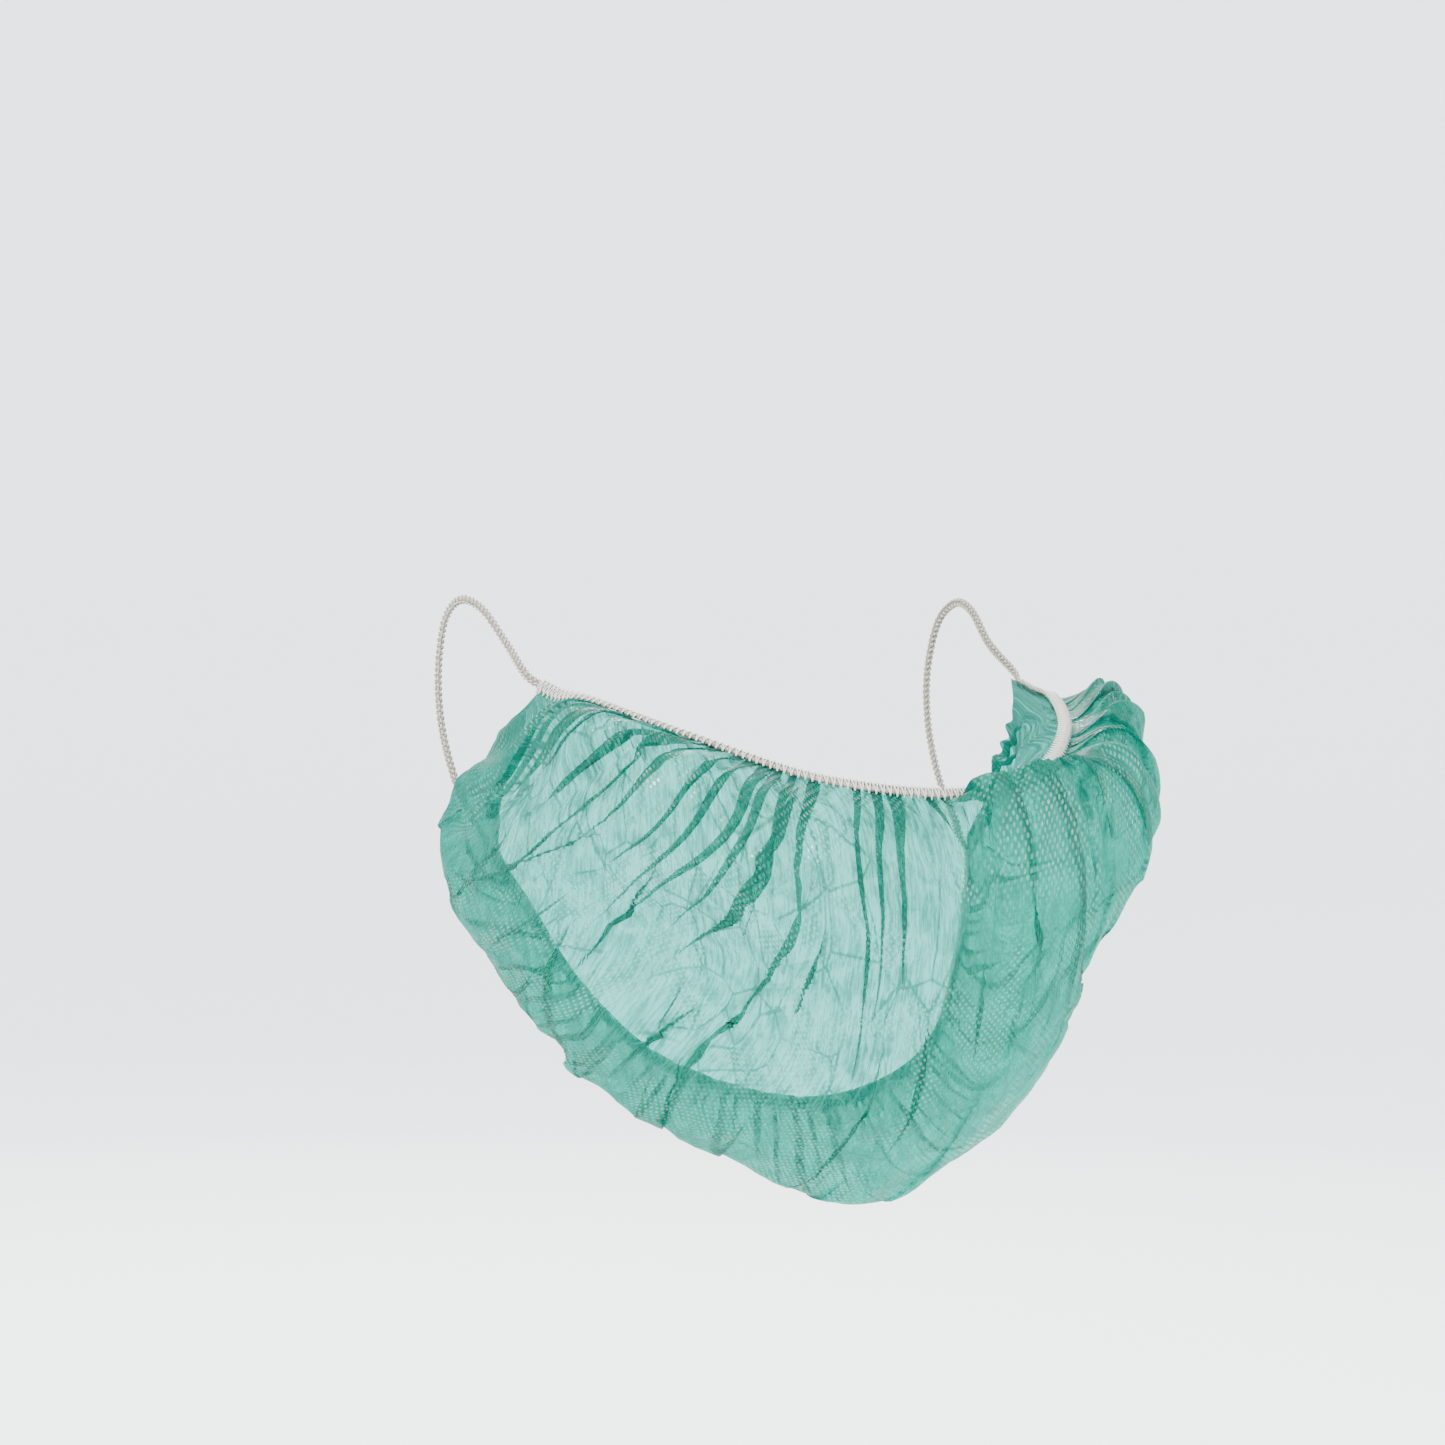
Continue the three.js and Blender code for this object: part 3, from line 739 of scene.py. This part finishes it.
shader = tree.nodes["Principled BSDF"]
shader.inputs["Roughness"].default_value = 0.5
shader.inputs["Specular IOR Level"].default_value = 0.1
shader.inputs["Coat Roughness"].default_value = 0.14
glossy = math(tree, "MULTIPLY", web_node.outputs["Bond"], bond_gloss)
tree.links.new(glossy, shader.inputs["Coat Weight"])
tree.links.new(bond_painted_glint.outputs["Result"], shader.inputs["Base Color"])
tree.links.new(bump.outputs[0], shader.inputs["Normal"])
glow_tint = add(tree, "ShaderNodeMix", data_type="RGBA")
glow_tint.inputs["A"].default_value = (0.01, 0.34, 0.25, 1)
glow_tint.inputs["B"].default_value = (0.002, 0.13, 0.09, 1)
tree.links.new(bunched_at, glow_tint.inputs["Factor"])
glow = add(tree, "ShaderNodeBsdfTranslucent")
tree.links.new(glow_tint.outputs["Result"], glow.inputs["Color"])
tree.links.new(bump.outputs[0], glow.inputs["Normal"])
lit_through = add(tree, "ShaderNodeMixShader")
lit_through.inputs[0].default_value = share_lit_through
tree.links.new(shader.outputs[0], lit_through.inputs[1])
tree.links.new(glow.outputs[0], lit_through.inputs[2])
clear = add(tree, "ShaderNodeBsdfTransparent")
clear.inputs["Color"].default_value = (0.21, 0.77, 0.69, 1)
seen_through = add(tree, "ShaderNodeMixShader")
tree.links.new(alpha, seen_through.inputs[0])
tree.links.new(clear.outputs[0], seen_through.inputs[1])
tree.links.new(lit_through.outputs[0], seen_through.inputs[2])
tree.links.new(seen_through.outputs[0], tree.nodes["Material Output"].inputs["Surface"])
pouch.data.materials.append(nonwoven)
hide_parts("net_pouch")
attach(pouch, "root")

# Bands
# Along each long edge of the fabric, nearly from end to end, runs a narrow flat elastic, knitted from five
# white yarns round thin rubber threads. It was stretched while it was sewn on, and gathers the fabric as it
# draws back.
band_thickness = 0.001
band_off = 0.00085
bare_end = 4 / 144
top_line_points = 1300
hem_line_points = 1200
band_braid = dict(yarns=5, swing=0.00102, lift=0.00022, radius=0.00036, pitch=0.0044)


def band_seat(edge, count):
    """The middle line of the elastic on one edge of the fabric, and the ways across and off the sheet there.
    edge is 0 at the rim and 1 at the hem. The line lies half a band in from the edge, off the fabric."""
    along = np.linspace(bare_end, 1 - bare_end, count)
    _, depth = smooth_pouch(along, row_share[:2])
    inward = np.array([0.0, band_inset + band_width / 2, 2 * band_inset + band_width])
    shares = np.abs(edge - inward[None, :] / depth[:, None])
    points, _ = smooth_pouch(along, np.sort(shares, axis=1))
    _, downward, outward_way = sheet_frame(points)
    centre = points[:, 1] + outward_way[:, 1] * band_off
    inward_way = downward[:, 1] * (1 if edge == 0 else -1)
    return centre, inward_way, outward_way[:, 1]


def yarn_tube(path, off_way, radius, sides=6):
    """Points and faces of a round yarn with closed ends: a ring of that radius at each point of the path,
    square to it, started from the way off the cloth."""
    onward = unit(np.gradient(path, axis=0))
    side_way = unit(np.cross(onward, off_way))
    top_way = np.cross(side_way, onward)
    angle = np.arange(sides) * 2 * np.pi / sides
    ring = side_way[:, None] * np.cos(angle)[:, None] + top_way[:, None] * np.sin(angle)[:, None]
    points = path[:, None] + radius * ring
    step, corner = np.meshgrid(np.arange(len(path) - 1), np.arange(sides), indexing="ij")
    here, beside = step * sides + corner, step * sides + (corner + 1) % sides
    wall = np.stack([here, beside, beside + sides, here + sides], axis=-1).reshape(-1, 4)
    lid = np.array([(k, k + 1, sides - 2 - k, sides - 1 - k) for k in range(sides // 2 - 1)])
    last = (len(path) - 1) * sides
    faces = np.concatenate([wall, lid[:, ::-1], lid + last])
    run = run_along(path)
    uv = np.stack(np.broadcast_arrays(run[:, None], (np.arange(sides) / sides)[None, :]), axis=-1)
    return points.reshape(-1, 3), faces[:, ::-1], uv.reshape(-1, 2)


def yarn_piece(name, yarns):
    """One piece from several yarns."""
    first = np.cumsum([0] + [len(points) for points, _, _ in yarns[:-1]])
    points = np.concatenate([points for points, _, _ in yarns])
    faces = np.concatenate([faces + start for (_, faces, _), start in zip(yarns, first)])
    uv = np.concatenate([uv for _, _, uv in yarns])
    return mesh_piece(name, points, faces, uv[faces.ravel()])


def flat_braid(centre, across_way, off_way, yarns, swing, lift, radius, pitch):
    """Yarns that cross each other in turn. Each one swings from edge to edge in a sine, and rises and dips
    twice as often, so that it goes over one neighbour and under the next. They follow each other evenly."""
    turn = 2 * np.pi * run_along(centre) / pitch
    made = []
    for yarn in range(yarns):
        phase = turn + 2 * np.pi * yarn / yarns
        path = centre + across_way * (swing * np.sin(phase))[:, None]
        path = path + off_way * (lift * np.sin(2 * phase))[:, None]
        made.append(yarn_tube(path, off_way, radius))
    return made


top_line, top_inward, top_off = band_seat(0, top_line_points)
hem_line, hem_inward, hem_off = band_seat(1, hem_line_points)
top_band = yarn_piece("top_band", flat_braid(top_line, top_inward, top_off, **band_braid))
hem_band = yarn_piece("lower_band", flat_braid(hem_line, hem_inward, hem_off, **band_braid))

# Yarn: off-white, matt and a little hairy, with the slant of its twist showing along it in bumps and in
# painted shade, darker in the grooves of the twist, with tone that varies at random with the hairs.
yarn_twist_and_groove_shade = new_group("yarn_twist_and_groove_shade", [("Twist pitch", 0.0006)], ["Shade", "Height"])
inlet = add(yarn_twist_and_groove_shade, "NodeGroupInput")
outlet = add(yarn_twist_and_groove_shade, "NodeGroupOutput")
parts = add(yarn_twist_and_groove_shade, "ShaderNodeSeparateXYZ")
yarn_twist_and_groove_shade.links.new(add(yarn_twist_and_groove_shade, "ShaderNodeUVMap", uv_map="cloth").outputs[0], parts.inputs[0])
twist_slant = 2.0
twist_relief = 0.4
shade_of_relief = 0.6
twist = math(yarn_twist_and_groove_shade, "DIVIDE", parts.outputs["X"], inlet.outputs["Twist pitch"])
twist = math(yarn_twist_and_groove_shade, "ADD", twist, math(yarn_twist_and_groove_shade, "MULTIPLY", parts.outputs["Y"], twist_slant))
twist = math(yarn_twist_and_groove_shade, "SINE", math(yarn_twist_and_groove_shade, "MULTIPLY", twist, 2 * np.pi))
hairs = add(yarn_twist_and_groove_shade, "ShaderNodeTexNoise")
hairs.inputs["Scale"].default_value = 2500.0
hairs.inputs["Detail"].default_value = 3.0
yarn_twist_and_groove_shade.links.new(add(yarn_twist_and_groove_shade, "ShaderNodeTexCoord").outputs["Object"], hairs.inputs["Vector"])
relief = math(yarn_twist_and_groove_shade, "ADD", math(yarn_twist_and_groove_shade, "MULTIPLY", twist, twist_relief), hairs.outputs[0])
yarn_twist_and_groove_shade.links.new(relief, outlet.inputs["Height"])
# Shade here is painted shade: the colour darkens in the grooves of the twist, and the hairs add random tone.
shade = math(yarn_twist_and_groove_shade, "MULTIPLY", relief, shade_of_relief, clamp=True)
yarn_twist_and_groove_shade.links.new(shade, outlet.inputs["Shade"])


def yarn_material(name, dark, light, pitch, sheen):
    """A matt yarn whose colour carries painted shade: it runs from dark in the grooves of the twist to light
    on its ridges.
    """
    material = bpy.data.materials.new(name)
    material.use_nodes = True
    tree = material.node_tree
    shader = tree.nodes["Principled BSDF"]
    shader.inputs["Roughness"].default_value = 0.72
    shader.inputs["Sheen Weight"].default_value = sheen
    shader.inputs["Specular IOR Level"].default_value = 0.2
    shader.inputs["Sheen Roughness"].default_value = 0.4
    twisted = add(tree, "ShaderNodeGroup", node_tree=yarn_twist_and_groove_shade)
    twisted.inputs["Twist pitch"].default_value = pitch
    # The ramp paints the shade into the colour, from the dark colour in the grooves to the light one on the
    # ridges.
    ramp = add(tree, "ShaderNodeValToRGB")
    ramp.color_ramp.elements[0].color = dark
    ramp.color_ramp.elements[1].color = light
    tree.links.new(twisted.outputs["Shade"], ramp.inputs["Fac"])
    tree.links.new(ramp.outputs[0], shader.inputs["Base Color"])
    bump = add(tree, "ShaderNodeBump")
    bump.inputs["Strength"].default_value = 0.6
    bump.inputs["Distance"].default_value = 0.0001
    tree.links.new(twisted.outputs["Height"], bump.inputs["Height"])
    tree.links.new(bump.outputs[0], shader.inputs["Normal"])
    return material


# The elastic yarn's dark colour is painted shade in the grooves of its twist.
elastic_yarn = yarn_material(
    "off_white_elastic_yarn", (.09, .078, .06, 1), (.50, .465, .40, 1), pitch=0.0011, sheen=0.1)
for band, node_name in ((top_band, "top_elastic"), (hem_band, "lower_elastic")):
    band.data.materials.append(elastic_yarn)
    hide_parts(node_name)
    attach(band, "root")

# Stitches
# A white thread zigzags over each band and holds it to the fabric. On the fabric's side its turns stand
# out past the band as a row of small sharp teeth.
stitch_pitch = 0.0017
tooth_reach = 0.0009
knob_reach = 0.0003
thread_radius = 0.00017
thread_lift = 0.00018
dip_before_edge = 0.0002
dip_run = 0.0005
points_per_stitch = 12


def zigzag(centre, inward_way, off_way):
    """A thread that swings in straight lines from the free edge of the band to past its other edge, lies
    on the band's outer side, and dips to the fabric at each tooth."""
    run = run_along(centre)
    turns = run[-1] / stitch_pitch
    phase = np.linspace(0, turns, int(turns * points_per_stitch))
    swing = 1 - 4 * np.abs(phase - np.floor(phase + 0.5))
    where = phase / turns * run[-1]
    line, inwards, off = (read_at(where, run, field) for field in (centre, inward_way, off_way))
    reach = swing * (band_width / 2 + np.where(swing > 0, tooth_reach, knob_reach))
    past = ease((reach - band_width / 2 + dip_before_edge) / dip_run)
    lift = band_thickness / 2 + thread_lift - past * band_thickness
    path = line + inwards * reach[:, None] + off * lift[:, None]
    return yarn_tube(path, off, thread_radius)


# The thread's dark colour is painted shade in the grooves of its twist.
stitch_thread = yarn_material(
    "white_stitch_thread", (.34, .34, .32, 1), (.66, .66, .63, 1), pitch=0.0005, sheen=0.05)
for name, line, inward_way, off_way in (
    ("top_stitches", top_line, top_inward, top_off),
    ("lower_stitches", hem_line, hem_inward, hem_off),
):
    stitches = yarn_piece(name, [zigzag(line, inward_way, off_way)])
    stitches.data.materials.append(stitch_thread)
    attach(stitches, "root")

# Loops
# The loops that hold the net are the same elastic, run on bare past the fabric: from each end of the top
# band over the place that it hangs from, and back under it to the end of the lower band. Stretched and free
# of stitches, the elastic draws into a rounder braid of three yarns.
loop_back = 0.018

# Each row is a point of the loop: how far out, back and down it lies, as shares of the pouch's half width,
# of the loop's reach to the back, and of the height of the lower band's end.
loop_points = np.array([
    (.843, -.78, .17), (.86, -.17, .03), (.872, .28, 0), (.872, .72, .065), (.866, 1, .275),
    (.86, .94, .5), (.849, .55, .73), (.837, .1, .87),
])
loop_steps = 1400
loop_lead = 0.0038
loop_stand_off = 0.002
lead_points = 40
turning_over = 7
loop_braid = dict(yarns=3, swing=0.0008, lift=0.00036, radius=0.0004, pitch=0.0046)
for side, end, name, node_name in (
    (-1, 0, "right_loop", "ear_loop_right"), (1, -1, "left_loop", "ear_loop_left"),
):
    # The loop leaves each band along the band's own line and a little off the fabric.
    nearby = lead_points if end == 0 else -1 - lead_points
    top_lead, hem_lead = (
        line[end] + unit(line[end] - line[nearby]) * loop_lead + off[end] * loop_stand_off
        for line, off in ((top_line, top_off), (hem_line, hem_off))
    )
    route = np.concatenate([
        [top_line[end], top_lead],
        loop_points * (side * pouch_span[0], loop_back, hem_line[end][2]),
        [hem_lead, hem_line[end]],
    ])
    centre = curve_through(route, np.linspace(0, 1, loop_steps))
    run = run_along(centre)
    centre = read_at(np.linspace(0, run[-1], loop_steps), run, centre)
    onward = unit(np.gradient(centre, axis=0))

    # Its flat side lies as the bands' do at its two ends, and turns outwards within a seventh of its length.
    share = np.linspace(0, 1, loop_steps)[:, None]
    turned = ease(np.minimum(share, 1 - share) * turning_over)
    seat_off = np.where(share < 0.5, top_off[end], hem_off[end])
    off = seat_off * (1 - turned) + np.array([side, 0.0, 0.0]) * turned
    across_loop = unit(np.cross(onward, off))
    off = np.cross(across_loop, onward)
    loop = yarn_piece(name, flat_braid(centre, across_loop, off, **loop_braid))
    loop.data.materials.append(elastic_yarn)
    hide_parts(node_name)
    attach(loop, "root")
